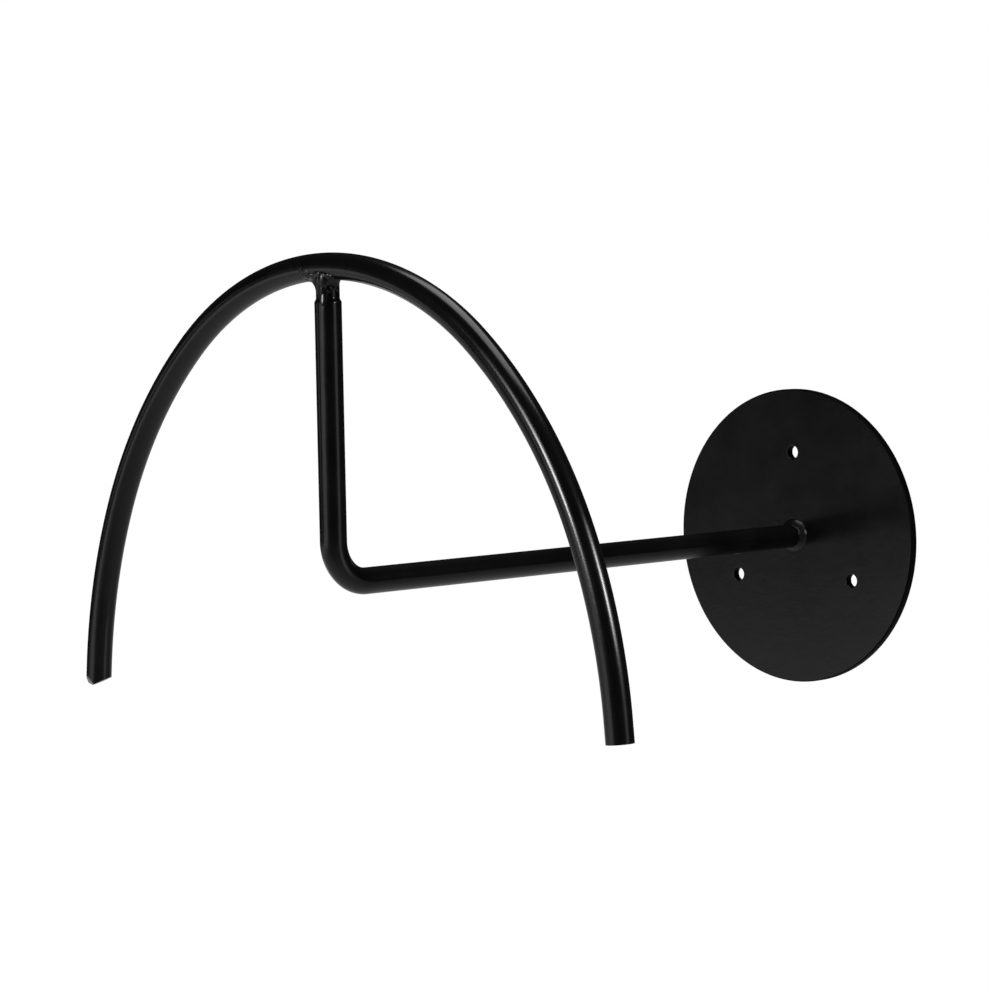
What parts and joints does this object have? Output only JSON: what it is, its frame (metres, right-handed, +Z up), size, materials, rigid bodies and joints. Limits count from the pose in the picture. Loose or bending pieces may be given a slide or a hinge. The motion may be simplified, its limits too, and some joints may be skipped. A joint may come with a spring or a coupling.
{
  "type": "saddle rack",
  "caption": "Wall-mounted rack that carries a horse saddle: a bar arch on an upturned arm, welded to a round screw-on plate.",
  "frame": {"origin": "centre of the wall plate's back face, on the wall and on the arm's axis", "axes": "+Z up, +Y into the wall, so the rack stands out towards -Y; the arch lies in a plane parallel to XZ and is the same on both sides of X = 0"},
  "size_m": [0.4654, 0.4399, 0.294],
  "materials": {
    "plate_coat": "satin black powder coat on flat steel plate",
    "bar_coat": "glossy black powder coat on round steel bar",
    "weld_coat": "black powder coat over a weld bead"
  },
  "bodies": {
    "root": {"wall_plate": "plate_coat", "arm_bar": "bar_coat", "arch_bar": "bar_coat", "arm_foot_weld": "weld_coat", "post_head_weld": "weld_coat"}
  },
  "joints": []
}
